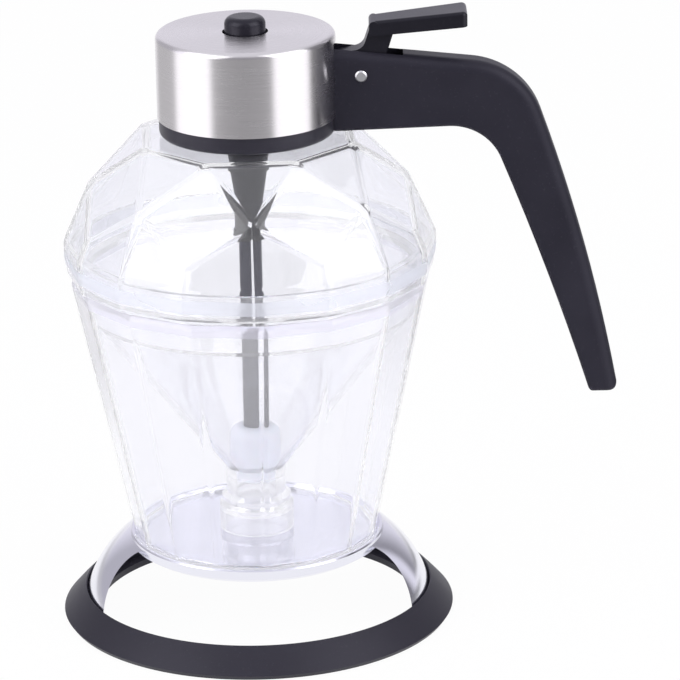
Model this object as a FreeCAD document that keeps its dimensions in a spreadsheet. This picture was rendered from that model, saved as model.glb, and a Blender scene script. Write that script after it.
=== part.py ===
import FreeCAD, Part
import math
import os
import Sketcher
from types import SimpleNamespace

# A honey dispenser: a faceted clear jar with a funnel below, standing in a faceted
# cup on a two-legged stand. A lever on the handle lifts the plunger that shuts the outlet.
# Millimetres, +Z up, the jar's axis on Z, the table at height 0, the handle along +X.
os.makedirs("parts", exist_ok=True)
doc = FreeCAD.newDocument("HoneyDispenser")

sizes = {
    # clearances
    "rest_gap": 0.3,
    "run_gap": 0.06,
    "bond_gap": 0.05,
    # base ring
    "ring_radius": 56.2,
    "ring_foot_step": 0.9,
    "ring_edge": 1.3,
    "ring_height": 8.0,
    "ring_top_width": 0.3,
    "ring_crown": 100.0,
    "ring_wall": 6.6,
    "ring_ledge_width": 3.4,
    "ring_ledge": 1.8,
    # stand frame
    "dish_floor_height": 22.6,
    "dish_thick": 1.7,
    "dish_radius": 36.4,
    "dish_wall": 1.1,
    "dish_depth": 2.2,
    "dish_edge": 1.2,
    "leg_thick": 3.0,
    "leg_flare": 34.0,
    "leg_foot_height": 6.5,
    "arch_half_width": 44.0,
    "arch_top_half": 30.0,
    "arch_corner": 21.0,
    # cup
    "cup_turn": 4.5,
    "cup_foot_radius": 34.6,
    "cup_height": 78.9,
    "cup_rim_radius": 51.1,
    "cup_wall": 2.0,
    "cup_floor": 1.6,
    "cup_bevel": 0.8,
    # jar dome
    "jar_turn": 2.4,
    "jar_wall": 2.4,
    "jar_rim_radius": 51.5,
    "girdle_radius": 52.5,
    "rim_band": 5.2,
    "girdle_band": 5.0,
    "facet_radius": 45.0,
    "break_rise": 16.9,
    "table_radius": 31.9,
    "star_rise": 13.0,
    "neck_radius": 20.8,
    "neck_wall": 2.4,
    "neck_length": 12.0,
    # funnel and outlet
    "funnel_wall": 2.0,
    "collar_depth": 7.9,
    "spigot_gap": 0.35,
    "spigot_ease": 1.42,
    "cone_angle": 37.8,
    "throat_radius": 5.6,
    "throat_length": 10.2,
    "throat_wall": 2.75,
    "lip_radius": 9.75,
    "lip_thick": 2.8,
    "lip_edge": 0.6,
    "throat_seat": 2.6,
    "nozzle_floor": 3.0,
    "skirt_radius": 10.4,
    "skirt_wall": 1.4,
    "skirt_edge": 0.8,
    "skirt_length": 8.2,
    "skirt_floor_gap": 0.7,
    # cap
    "shell_thick": 0.8,
    "shell_length": 23.9,
    "shell_round": 1.6,
    "shell_hole": 6.4,
    "slot_headroom": 1.1,
    "band_height": 4.9,
    "thread_room": 1.1,
    "skirt_thick": 2.29,
    "band_step": 0.45,
    "band_round": 1.4,
    "seal_thick": 1.6,
    "seal_width": 3.2,
    "plate_thick": 2.0,
    "plate_hole": 6.0,
    # guide tube
    "tube_flange": 8.2,
    "tube_flange_thick": 1.2,
    "tube_radius": 5.8,
    "tube_end_radius": 3.9,
    "chamber_radius": 4.7,
    "chamber_length": 19.7,
    "chamber_floor": 2.0,
    "taper_length": 14.4,
    "tube_end_length": 8.4,
    "wiper_radius": 4.3,
    "wiper_length": 2.4,
    "bush_thick": 1.3,
    # plunger
    "rod_radius": 3.0,
    "rod_seat_rise": 2.6,
    "groove_radius": 2.4,
    "clip_radius": 4.3,
    "clip_thick": 0.8,
    "clip_rise": 0.8,
    "clip_mouth": 3.6,
    "knob_radius": 5.75,
    "knob_proud": 4.4,
    "knob_cover": 4.7,
    "knob_round": 2.2,
    "knob_flange": 8.4,
    "knob_flange_thick": 1.4,
    "stopper_radius": 7.1,
    "stopper_rise": 13.1,
    "stopper_round": 3.0,
    "stopper_nose": 4.0,
    "nose_edge": 1.0,
    "nose_gap": 0.3,
    "seat_gap": 0.15,
    # spring
    "wire_radius": 0.35,
    "spring_turns": 7.0,
    # handle
    "handle_width": 10.5,
    "handle_drop": 4.0,
    "arm_slope": 6.2,
    "arm_length": 62.9,
    "elbow_outer": 22.7,
    "grip_outer": 511.0,
    "tip_outer": 103.65,
    "tip_width": 8.2,
    "handle_length": 102.1,
    "grip_inner": 848.0,
    "elbow_inner": 15.1,
    "arm_low_rise": 0.6,
    "arm_low_slope": 1.6,
    "arm_inset": 6.75,
    "tip_round": 2.4,
    "back_round": 3.2,
    "front_round": 1.2,
    "lever_slot_width": 6.6,
    "slot_reach": 11.8,
    "slot_depth": 12.6,
    "screw_rise": 3.0,
    "screw_spread": 5.8,
    "screw_radius": 1.2,
    "screw_length": 12.0,
    "screw_head": 2.2,
    "screw_head_depth": 1.3,
    # lever and pin
    "pin_reach": 6.86,
    "pin_drop": 8.2,
    "pin_radius": 1.7,
    "pin_proud": 0.35,
    "hub_radius": 3.8,
    "stem_width": 6.0,
    "thumb_root_width": 9.2,
    "thumb_width": 12.6,
    "thumb_setback": 2.4,
    "thumb_length": 27.2,
    "thumb_lift": 7.05,
    "thumb_rise": 2.85,
    "thumb_thick": 4.3,
    "thumb_round": 1.3,
    "thumb_corner": 1.5,
    "toe_drop": 2.2,
    "toe_gap": 0.6,
    "toe_round": 3.4,
    "arm_step": 1.0,
    "fork_width": 11.6,
    "fork_thick": 1.6,
    "fork_reach": 3.2,
    "fork_root": 14.0,
    "fork_pad": 0.45,
    "fork_pad_half": 1.5,
}

sheet = doc.addObject("Spreadsheet::Sheet", "Sizes")
for row, (word, number) in enumerate(sizes.items(), 1):
    sheet.set(f"A{row}", word)
    sheet.set(f"B{row}", str(number))
    sheet.setAlias(f"B{row}", word)
doc.recompute()


class Size:
    # a number kept together with the expression that gives it
    def __init__(self, value, text):
        self.value = float(value)
        self.text = text

    def __add__(self, other):
        other = as_size(other)
        return Size(self.value + other.value, f"({self.text} + {other.text})")

    def __radd__(self, other):
        return as_size(other) + self

    def __sub__(self, other):
        other = as_size(other)
        return Size(self.value - other.value, f"({self.text} - {other.text})")

    def __rsub__(self, other):
        return as_size(other) - self

    def __mul__(self, other):
        other = as_size(other)
        return Size(self.value * other.value, f"({self.text} * {other.text})")

    def __rmul__(self, other):
        return as_size(other) * self

    def __truediv__(self, other):
        other = as_size(other)
        return Size(self.value / other.value, f"({self.text} / {other.text})")

    def __neg__(self):
        return Size(-self.value, f"(0 - {self.text})")


def as_size(number):
    if isinstance(number, Size):
        return number
    return Size(number, f"({float(number)!r})")


def root(size):
    return Size(math.sqrt(size.value), f"sqrt({size.text})")


def tangent(degrees):
    return Size(math.tan(math.radians(degrees.value)), f"tan({degrees.text} * 1 deg)")


def cosine(degrees):
    return Size(math.cos(math.radians(degrees.value)), f"cos({degrees.text} * 1 deg)")


def sine(degrees):
    return Size(math.sin(math.radians(degrees.value)), f"sin({degrees.text} * 1 deg)")


d = SimpleNamespace(**{word: Size(number, f"Sizes.{word}") for word, number in sizes.items()})


def bind(thing, name, size):
    thing.setExpression(name, as_size(size).text)


def new_body(name):
    body = doc.addObject("PartDesign::Body", name)
    body.Label = name
    return body


def origin_part(body, role):
    return next(f for f in body.Origin.OriginFeatures if f.Role == role)


def new_sketch(body, name, plane, shift=None, turn=0.0):
    sketch = body.newObject("Sketcher::SketchObject", name)
    sketch.AttachmentSupport = [(origin_part(body, plane), "")]
    sketch.MapMode = "FlatFace"
    sketch.AttachmentOffset = FreeCAD.Placement(
        FreeCAD.Vector(0, 0, 0), FreeCAD.Rotation(FreeCAD.Vector(0, 1, 0), turn)
    )
    if shift is not None:
        bind(sketch, "AttachmentOffset.Base.z", shift)
    return sketch


def hold(sketch, kind, first, first_end, second, second_end, size):
    # a distance or angle held at a value that the sheet drives
    size = as_size(size)
    number = sketch.addConstraint(
        Sketcher.Constraint(kind, first, first_end, second, second_end, size.value)
    )
    sketch.setExpression(f"Constraints[{number}]", size.text)


def hold_radius(sketch, edge, size):
    size = as_size(size)
    number = sketch.addConstraint(Sketcher.Constraint("Radius", edge, abs(size.value)))
    sketch.setExpression(f"Constraints[{number}]", size.text)


def hold_point(sketch, edge, end, x, y):
    hold(sketch, "DistanceX", -1, 1, edge, end, x)
    hold(sketch, "DistanceY", -1, 1, edge, end, y)


def arc_between(start, end, radius, left):
    # the short arc from start to end that keeps its centre on the left or the right
    gap = end - start
    across = FreeCAD.Vector(-gap.y, gap.x, 0).normalize()
    reach = math.sqrt(max(radius**2 - (gap.Length / 2) ** 2, 0.0))
    centre = (start + end) * 0.5 + across * (reach if left else -reach)
    first, last = (start, end) if left else (end, start)
    angles = [math.atan2(p.y - centre.y, p.x - centre.x) for p in (first, last)]
    circle = Part.Circle(centre, FreeCAD.Vector(0, 0, 1), radius)
    return Part.ArcOfCircle(circle, angles[0], angles[1])


def add_edge(sketch, start, end, radius=0.0, left=True):
    # returns the edge's number and the names of its start and end points
    if radius:
        edge = sketch.addGeometry(arc_between(start, end, radius, left), False)
        return (edge, 1, 2) if left else (edge, 2, 1)
    return sketch.addGeometry(Part.LineSegment(start, end), False), 1, 2


def outline(sketch, points):
    # a closed outline: (x, y), or (x, y, radius, side) for an arc that arrives there
    spots = [FreeCAD.Vector(as_size(p[0]).value, as_size(p[1]).value, 0) for p in points]
    edges = []
    for i, point in enumerate(points):
        radius = as_size(point[2]).value if len(point) > 2 else 0.0
        left = len(point) > 3 and point[3] == "left"
        edges.append(add_edge(sketch, spots[i - 1], spots[i], radius, left))
    for i, point in enumerate(points):
        edge, _, end = edges[i]
        follower, start, _ = edges[(i + 1) % len(edges)]
        sketch.addConstraint(Sketcher.Constraint("Coincident", edge, end, follower, start))
        hold_point(sketch, edge, end, point[0], point[1])
        if len(point) > 2:
            hold_radius(sketch, edge, point[2])
    return sketch


def circle(sketch, x, y, radius):
    centre = FreeCAD.Vector(as_size(x).value, as_size(y).value, 0)
    edge = sketch.addGeometry(
        Part.Circle(centre, FreeCAD.Vector(0, 0, 1), as_size(radius).value), False
    )
    hold_point(sketch, edge, 3, x, y)
    hold_radius(sketch, edge, radius)
    return sketch


def revolve(body, sketch, kind="Revolution"):
    feature = body.newObject(f"PartDesign::{kind}", sketch.Name + "Turn")
    feature.Profile = sketch
    feature.ReferenceAxis = (sketch, ["V_Axis"])
    feature.Angle = 360.0
    sketch.Visibility = False
    return feature


def turned(name, points):
    body = new_body(name)
    revolve(body, outline(new_sketch(body, name + "Profile", "XZ_Plane"), points))
    return body


def pad(body, sketch, width):
    feature = body.newObject("PartDesign::Pad", sketch.Name + "Pad")
    feature.Profile = sketch
    feature.Midplane = True
    bind(feature, "Length", width)
    return feature


def pocket(body, sketch, both_ways=True, depth=None):
    feature = body.newObject("PartDesign::Pocket", sketch.Name + "Cut")
    feature.Profile = sketch
    if depth is None:
        feature.Type = "ThroughAll"
    else:
        bind(feature, "Length", depth)
    feature.Midplane = both_ways
    return feature


def soften(body, radius, wanted):
    # a fillet on the edges of the last feature that the test picks
    doc.recompute()
    last = body.Tip
    names = [f"Edge{i}" for i, e in enumerate(last.Shape.Edges, 1) if wanted(e)]
    feature = body.newObject("PartDesign::Fillet", f"{body.Name}Round{len(body.Group)}")
    feature.Base = (last, names)
    bind(feature, "Radius", radius)
    return feature


def ngon(name, sides, radius, height, turn=0.0):
    polygon = doc.addObject("Part::RegularPolygon", name)
    polygon.Polygon = sides
    bind(polygon, "Circumradius", radius)
    polygon.Placement.Rotation = FreeCAD.Rotation(FreeCAD.Vector(0, 0, 1), turn)
    bind(polygon, "Placement.Base.z", height)
    return polygon


def tapered(name, sides, rings, turn=0.0):
    # a flat-sided solid through rings of (radius, height)
    loft = doc.addObject("Part::Loft", name)
    loft.Sections = [
        ngon(f"{name}Ring{i}", sides, radius, height, turn)
        for i, (radius, height) in enumerate(rings)
    ]
    loft.Solid = True
    loft.Ruled = True
    return loft


def cut(name, base, tool):
    feature = doc.addObject("Part::Cut", name)
    feature.Base = base
    feature.Tool = tool
    feature.Label = name
    return feature


def cylinder(name, radius, low, high):
    solid = doc.addObject("Part::Cylinder", name)
    bind(solid, "Radius", radius)
    bind(solid, "Height", high - low)
    bind(solid, "Placement.Base.z", low)
    return solid


def turn_about_axis(thing, degrees):
    thing.Placement.Rotation = FreeCAD.Rotation(FreeCAD.Vector(0, 0, 1), degrees.value)
    bind(thing, "Placement.Rotation.Angle", degrees)


# places that follow from the driving sizes, from the table up
ring_bore = d.ring_radius - d.ring_wall
cup_low = d.dish_floor_height + d.rest_gap
cup_floor_top = cup_low + d.cup_floor
cup_rim = cup_low + d.cup_height
skirt_low = cup_floor_top + d.skirt_floor_gap
lip_low = skirt_low + d.skirt_length
throat_high = lip_low + d.throat_length
funnel_low = throat_high - d.throat_seat
stopper_top = throat_high + d.stopper_rise
rod_low = throat_high + d.rod_seat_rise
jar_rim = cup_rim + d.rest_gap
girdle_low = jar_rim + d.rim_band
girdle_high = girdle_low + d.girdle_band
facet_high = girdle_high + d.break_rise
table_high = facet_high + d.star_rise
neck_top = table_high + d.neck_length

# the cap, up from the neck and out from the axis
insert_low = table_high + d.rest_gap
insert_bore = d.neck_radius + d.thread_room
insert_radius = insert_bore + d.skirt_thick
shell_low = insert_low + d.band_height
shell_top = shell_low + d.shell_length
shell_bore = insert_radius + d.bond_gap
shell_radius = shell_bore + d.shell_thick
seal_low = neck_top + d.rest_gap
plate_low = seal_low + d.seal_thick
plate_top = plate_low + d.plate_thick
flange_top = plate_top + d.tube_flange_thick
bush_top = flange_top + d.bush_thick
chamber_low = plate_low - d.chamber_length
taper_low = chamber_low - d.taper_length
tube_low = taper_low - d.tube_end_length
clip_low = chamber_low + d.clip_rise

# the handle, the lever and the knob
handle_top = shell_top - d.handle_drop
tip_low = handle_top - d.handle_length
tip_inner = d.tip_outer - d.tip_width
arm_low = insert_low + d.arm_low_rise
arm_low_length = d.arm_length - d.arm_inset
screw_high = shell_low + d.screw_rise
pin_x = shell_radius + d.pin_reach
pin_high = handle_top - d.pin_drop
thumb_start = pin_x + d.thumb_setback
thumb_end = thumb_start + d.thumb_length
thumb_start_high = handle_top + d.thumb_lift
thumb_end_high = thumb_start_high + d.thumb_rise
fork_low = bush_top + d.rest_gap
fork_top = fork_low + d.fork_thick + d.fork_pad
knob_low = fork_top + d.rest_gap
knob_top = shell_top + d.knob_proud
rod_high = knob_top - d.knob_cover


def make_base_ring():
    ledge = ring_bore - d.ring_ledge_width
    return turned("base_ring", [
        (ledge, 0.0),
        (d.ring_radius - d.ring_foot_step, 0.0),
        (d.ring_radius, d.ring_edge),
        (ring_bore + d.ring_top_width, d.ring_height, d.ring_crown, "left"),
        (ring_bore, d.ring_height - d.ring_top_width),
        (ring_bore, d.ring_ledge),
        (ledge, d.ring_ledge),
    ])


def make_stand_frame():
    # a flared skirt, two wide arches cut through it, then the dish turned onto its top
    body = new_body("stand_frame")
    foot = ring_bore - d.bond_gap
    under = d.dish_floor_height - d.dish_thick
    skirt_top = d.dish_floor_height + d.dish_wall
    skirt = outline(new_sketch(body, "SkirtProfile", "XZ_Plane"), [
        (foot - d.leg_thick, d.ring_ledge),
        (foot, d.ring_ledge),
        (foot, d.leg_foot_height),
        (d.dish_radius, skirt_top, d.leg_flare, "left"),
        (d.dish_radius - d.dish_wall, skirt_top),
        (d.dish_radius - d.dish_wall, d.dish_floor_height),
        (d.dish_radius - d.leg_thick, d.dish_floor_height),
        (d.dish_radius - d.leg_thick, under),
        (foot - d.leg_thick, d.leg_foot_height - 1.0, d.leg_flare - d.leg_thick, "right"),
    ])
    revolve(body, skirt)
    arch_top = d.dish_floor_height + d.dish_depth
    arch = outline(new_sketch(body, "ArchOutline", "XZ_Plane"), [
        (-d.arch_half_width, -d.ring_ledge),
        (d.arch_half_width, -d.ring_ledge),
        (d.arch_half_width, d.leg_foot_height),
        (d.arch_top_half, arch_top, d.arch_corner, "left"),
        (-d.arch_top_half, arch_top),
        (-d.arch_half_width, d.leg_foot_height, d.arch_corner, "left"),
    ])
    pocket(body, arch)
    rim = d.dish_floor_height + d.dish_depth
    inner = d.dish_radius - d.dish_wall
    dish = outline(new_sketch(body, "DishProfile", "XZ_Plane"), [
        (0.0, under),
        (d.dish_radius - d.dish_edge * 1.5, under),
        (d.dish_radius, under + d.dish_edge),
        (d.dish_radius, rim - d.dish_wall * 0.3),
        (d.dish_radius - d.dish_wall * 0.3, rim),
        (inner, rim),
        (inner, d.dish_floor_height),
        (0.0, d.dish_floor_height),
    ])
    revolve(body, dish)
    return body


def make_drip_cup():
    slope = (d.cup_rim_radius - d.cup_foot_radius) / d.cup_height
    bevel_low = cup_rim - d.cup_bevel * 2
    bevel_radius = d.cup_rim_radius - slope * d.cup_bevel * 2
    outer = tapered("CupOutside", 16, [
        (d.cup_foot_radius, cup_low),
        (bevel_radius, bevel_low),
        (bevel_radius - d.cup_bevel, cup_rim),
    ])
    inset = d.cup_wall / cosine(as_size(11.25))
    inner = tapered("CupInside", 16, [
        (d.cup_foot_radius + slope * d.cup_floor - inset, cup_floor_top),
        (d.cup_rim_radius + slope * 2.0 - inset, cup_rim + 2.0),
    ])
    cup = cut("drip_cup", outer, inner)
    turn_about_axis(cup, d.cup_turn)
    return cup


def facet_cone(name, sides, upper, lower, inset, turn=0.0):
    # a flat-sided cone through two rings, moved in by the wall and run past both ends
    flat = cosine(as_size(180.0 / sides))
    drop = upper[1] - lower[1]
    spread = (lower[0] - upper[0]) * flat
    slant = root(drop * drop + spread * spread) / drop
    shift = inset * slant / flat
    low = jar_rim - 1.0
    high = table_high
    grow = (lower[0] - upper[0]) / drop
    return tapered(name, sides, [
        (upper[0] - shift + grow * (upper[1] - low), low),
        (upper[0] - shift + grow * (upper[1] - high), high),
    ], turn)


def make_gem(name, inset, rim_radius):
    # eight star facets round the table, eight kites between them, sixteen facets to the girdle
    half = cosine(as_size(22.5))
    girdle = d.girdle_radius - inset / cosine(as_size(11.25))
    stars = facet_cone(name + "Stars", 8, (d.table_radius, table_high),
                       (d.facet_radius / half, facet_high), inset, 22.5)
    kites = facet_cone(name + "Kites", 8, (d.table_radius / half, table_high),
                       (d.facet_radius, facet_high), inset)
    breaks = facet_cone(name + "Breaks", 16, (d.facet_radius, facet_high),
                        (d.girdle_radius, girdle_high), inset)
    band = tapered(name + "Band", 16, [
        (rim_radius, jar_rim),
        (girdle, girdle_low),
        (girdle, table_high - inset),
    ])
    gem = doc.addObject("Part::MultiCommon", name)
    gem.Shapes = [stars, kites, breaks, band]
    return gem


def make_jar_dome():
    outside = make_gem("GemOutside", as_size(0.0), d.jar_rim_radius)
    inside = make_gem("GemInside", d.jar_wall,
                      d.girdle_radius - d.jar_wall / cosine(as_size(11.25)))
    neck = cylinder("Neck", d.neck_radius, table_high - d.jar_wall, neck_top)
    solid = doc.addObject("Part::MultiFuse", "GemWithNeck")
    solid.Shapes = [outside, neck]
    mouth = cylinder("Mouth", d.neck_radius - d.neck_wall,
                     table_high - d.jar_wall * 2, neck_top + 1.0)
    hollow = doc.addObject("Part::MultiFuse", "GemHollow")
    hollow.Shapes = [inside, mouth]
    dome = cut("jar_dome", solid, hollow)
    turn_about_axis(dome, d.jar_turn)
    return dome


def make_jar_funnel():
    # a collar inside the girdle, a spigot inside the cup's rim, the cone and a short throat
    slope = tangent(d.cone_angle)
    flat = cosine(as_size(11.25))
    wall_across = d.funnel_wall / cosine(d.cone_angle)
    girdle_flat = d.girdle_radius * flat - d.jar_wall
    collar = girdle_flat - d.bond_gap
    collar_top = jar_rim + d.collar_depth
    tube = d.throat_radius + d.throat_wall
    cup_slope = (d.cup_rim_radius - d.cup_foot_radius) / d.cup_height * flat
    rim_flat = d.cup_rim_radius * flat - d.cup_wall
    spigot = rim_flat - d.spigot_ease
    run = cup_rim - throat_high + (wall_across + d.throat_radius) / slope
    spigot_low = (rim_flat - d.spigot_gap - cup_slope * run) / (1.0 - cup_slope / slope)
    cone_top = throat_high + (spigot_low - wall_across - d.throat_radius) / slope
    tube_top = throat_high + (tube - wall_across - d.throat_radius) / slope
    spigot_bore = spigot - d.funnel_wall
    bore_low = spigot_low - d.funnel_wall
    inner_top = throat_high + (bore_low - d.throat_radius) / slope
    return turned("jar_funnel", [
        (d.throat_radius, funnel_low),
        (tube, funnel_low),
        (tube, tube_top),
        (spigot_low, cone_top),
        (spigot, jar_rim - 0.2),
        (collar, jar_rim + 0.6),
        (collar, collar_top),
        (collar - d.funnel_wall, collar_top),
        (collar - d.funnel_wall, jar_rim + 1.8),
        (spigot_bore, jar_rim - 0.4),
        (bore_low, inner_top),
        (d.throat_radius, throat_high),
    ])


def make_outlet_nozzle():
    # the throat goes on down through a rounded lip, and a skirt hangs round the stream
    tube = d.throat_radius + d.throat_wall
    bore = d.skirt_radius - d.skirt_wall
    floor = lip_low - d.nozzle_floor
    lip_top = lip_low + d.lip_thick
    return turned("outlet_nozzle", [
        (d.throat_radius, floor),
        (bore, floor),
        (bore, skirt_low),
        (d.skirt_radius, skirt_low),
        (d.skirt_radius, lip_low - d.skirt_edge),
        (d.lip_radius - d.lip_edge, lip_low),
        (d.lip_radius, lip_low + d.lip_edge),
        (d.lip_radius, lip_top - d.lip_thick * 0.4),
        (tube, lip_top),
        (tube, funnel_low - d.bond_gap),
        (d.throat_radius, funnel_low - d.bond_gap),
    ])


def make_cap_shell():
    body = new_body("cap_shell")
    inner_round = d.shell_round - d.shell_thick
    under = shell_top - d.shell_thick
    revolve(body, outline(new_sketch(body, "ShellProfile", "XZ_Plane"), [
        (shell_bore, shell_low),
        (shell_radius, shell_low),
        (shell_radius, shell_top - d.shell_round),
        (shell_radius - d.shell_round, shell_top, d.shell_round, "left"),
        (d.shell_hole, shell_top),
        (d.shell_hole, under),
        (shell_bore - inner_round, under),
        (shell_bore, under - inner_round),
    ]))
    half = d.handle_width * 0.5 + d.rest_gap * 0.5
    slot = outline(new_sketch(body, "ShellSlot", "YZ_Plane"), [
        (-half, shell_low - 1.0),
        (half, shell_low - 1.0),
        (half, handle_top + d.slot_headroom),
        (-half, handle_top + d.slot_headroom),
    ])
    feature = pocket(body, slot, both_ways=False, depth=shell_radius + 5.0)
    feature.Reversed = True
    return body


def screw_holes(body, name, radius, depth):
    # two holes from the axis plane out towards the handle
    holes = new_sketch(body, name, "YZ_Plane")
    for side in (-0.5, 0.5):
        circle(holes, d.screw_spread * side, screw_high, radius)
    feature = pocket(body, holes, both_ways=False, depth=depth)
    feature.Reversed = True
    return feature


def make_cap_insert():
    # the black band under the steel, the threaded skirt and the plate that carries the guide
    body = new_body("cap_insert")
    band = insert_radius + d.band_step
    revolve(body, outline(new_sketch(body, "InsertProfile", "XZ_Plane"), [
        (insert_bore, insert_low),
        (band - d.band_round, insert_low),
        (band, insert_low + d.band_round, d.band_round, "left"),
        (band, shell_low),
        (insert_radius, shell_low),
        (insert_radius, plate_top),
        (d.plate_hole, plate_top),
        (d.plate_hole, plate_low),
        (insert_bore, plate_low),
    ]))
    screw_holes(body, "InsertHoles", d.screw_radius + d.bond_gap, insert_radius + 5.0)
    seat_depth = insert_bore + d.screw_head_depth + d.bond_gap * 2
    screw_holes(body, "ScrewSeats", d.screw_head + d.bond_gap, seat_depth)
    return body


def make_cap_seal():
    outer = insert_bore - d.rest_gap
    return turned("cap_seal", [
        (outer - d.seal_width, seal_low),
        (outer, seal_low),
        (outer, plate_low),
        (outer - d.seal_width, plate_low),
    ])


def make_guide_tube():
    # hangs in the plate by its flange; the wide part holds the spring
    neck = d.plate_hole - d.bond_gap
    floor_low = chamber_low - d.chamber_floor
    return turned("guide_tube", [
        (d.rod_radius + d.rest_gap, tube_low),
        (d.tube_end_radius, tube_low),
        (d.tube_end_radius, taper_low),
        (d.tube_radius, floor_low),
        (neck, plate_low),
        (neck, plate_top),
        (d.tube_flange, plate_top),
        (d.tube_flange, flange_top),
        (d.chamber_radius, flange_top),
        (d.chamber_radius, chamber_low),
        (d.rod_radius + d.rest_gap, chamber_low),
    ])


def make_tube_wiper():
    low = tube_low - d.wiper_length
    return turned("tube_wiper", [
        (d.rod_radius + d.run_gap, low),
        (d.wiper_radius - 0.4, low),
        (d.wiper_radius, low + 0.4),
        (d.wiper_radius, tube_low),
        (d.rod_radius + d.run_gap, tube_low),
    ])


def make_guide_bush():
    return turned("guide_bush", [
        (d.rod_radius + d.run_gap, flange_top),
        (d.tube_flange, flange_top),
        (d.tube_flange, bush_top - 0.4),
        (d.tube_flange - 0.4, bush_top),
        (d.rod_radius + d.run_gap, bush_top),
    ])


def make_plunger_rod():
    groove_low = clip_low - d.bond_gap
    groove_high = clip_low + d.clip_thick + d.bond_gap
    return turned("plunger_rod", [
        (0.0, rod_low),
        (d.rod_radius - 0.5, rod_low),
        (d.rod_radius, rod_low + 0.5),
        (d.rod_radius, groove_low),
        (d.groove_radius, groove_low),
        (d.groove_radius, groove_high),
        (d.rod_radius, groove_high),
        (d.rod_radius, rod_high - 0.5),
        (d.rod_radius - 0.5, rod_high),
        (0.0, rod_high),
    ])


def make_spring_clip():
    body = turned("spring_clip", [
        (d.groove_radius + d.bond_gap, clip_low),
        (d.clip_radius, clip_low),
        (d.clip_radius, clip_low + d.clip_thick),
        (d.groove_radius + d.bond_gap, clip_low + d.clip_thick),
    ])
    mouth = outline(new_sketch(body, "ClipMouth", "XZ_Plane"), [
        (d.clip_mouth * -0.5, clip_low - 1.0),
        (d.clip_mouth * 0.5, clip_low - 1.0),
        (d.clip_mouth * 0.5, clip_low + 2.0),
        (d.clip_mouth * -0.5, clip_low + 2.0),
    ])
    pocket(body, mouth, both_ways=False, depth=d.clip_radius + 1.0)
    return body


def make_knob():
    shaft = d.rod_radius + d.bond_gap
    return turned("knob", [
        (shaft, knob_low),
        (d.knob_flange, knob_low),
        (d.knob_flange, knob_low + d.knob_flange_thick),
        (d.knob_radius, knob_low + d.knob_flange_thick),
        (d.knob_radius, knob_top - d.knob_round),
        (d.knob_radius - d.knob_round, knob_top, d.knob_round, "left"),
        (0.0, knob_top),
        (0.0, rod_high + d.bond_gap),
        (shaft, rod_high + d.bond_gap),
    ])


def make_stopper():
    slope = tangent(d.cone_angle)
    lift = d.seat_gap / sine(d.cone_angle)
    nose = d.throat_radius - d.nose_gap
    seat_low = throat_high + lift + (nose - d.throat_radius) / slope
    seat_high = throat_high + lift + (d.stopper_radius - d.throat_radius) / slope
    nose_low = throat_high - d.stopper_nose
    bore = d.rod_radius + d.bond_gap
    return turned("stopper", [
        (0.0, nose_low),
        (nose - d.nose_edge, nose_low),
        (nose, nose_low + d.nose_edge),
        (nose, seat_low),
        (d.stopper_radius, seat_high),
        (d.stopper_radius, stopper_top - d.stopper_round),
        (d.stopper_radius - d.stopper_round, stopper_top, d.stopper_round, "left"),
        (bore, stopper_top),
        (bore, rod_low - d.bond_gap),
        (0.0, rod_low - d.bond_gap),
    ])


def make_return_spring():
    # a helix between the clip and the bush, of wire drawn here with six flats
    body = new_body("return_spring")
    mean = (d.rod_radius + d.chamber_radius) * 0.5
    low = clip_low + d.clip_thick + d.wire_radius + d.rest_gap * 0.5
    high = flange_top - d.wire_radius - d.rest_gap * 0.5
    flats = [math.radians(60 * i + 30) for i in range(6)]
    wire = outline(new_sketch(body, "SpringWire", "XZ_Plane"), [
        (mean + d.wire_radius * math.cos(a), low + d.wire_radius * math.sin(a)) for a in flats
    ])
    coil = body.newObject("PartDesign::AdditiveHelix", "Coil")
    coil.Profile = wire
    coil.ReferenceAxis = (wire, ["V_Axis"])
    coil.Mode = "height-turns-angle"
    bind(coil, "Height", high - low)
    bind(coil, "Turns", d.spring_turns)
    coil.Angle = 0.0
    return body


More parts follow.
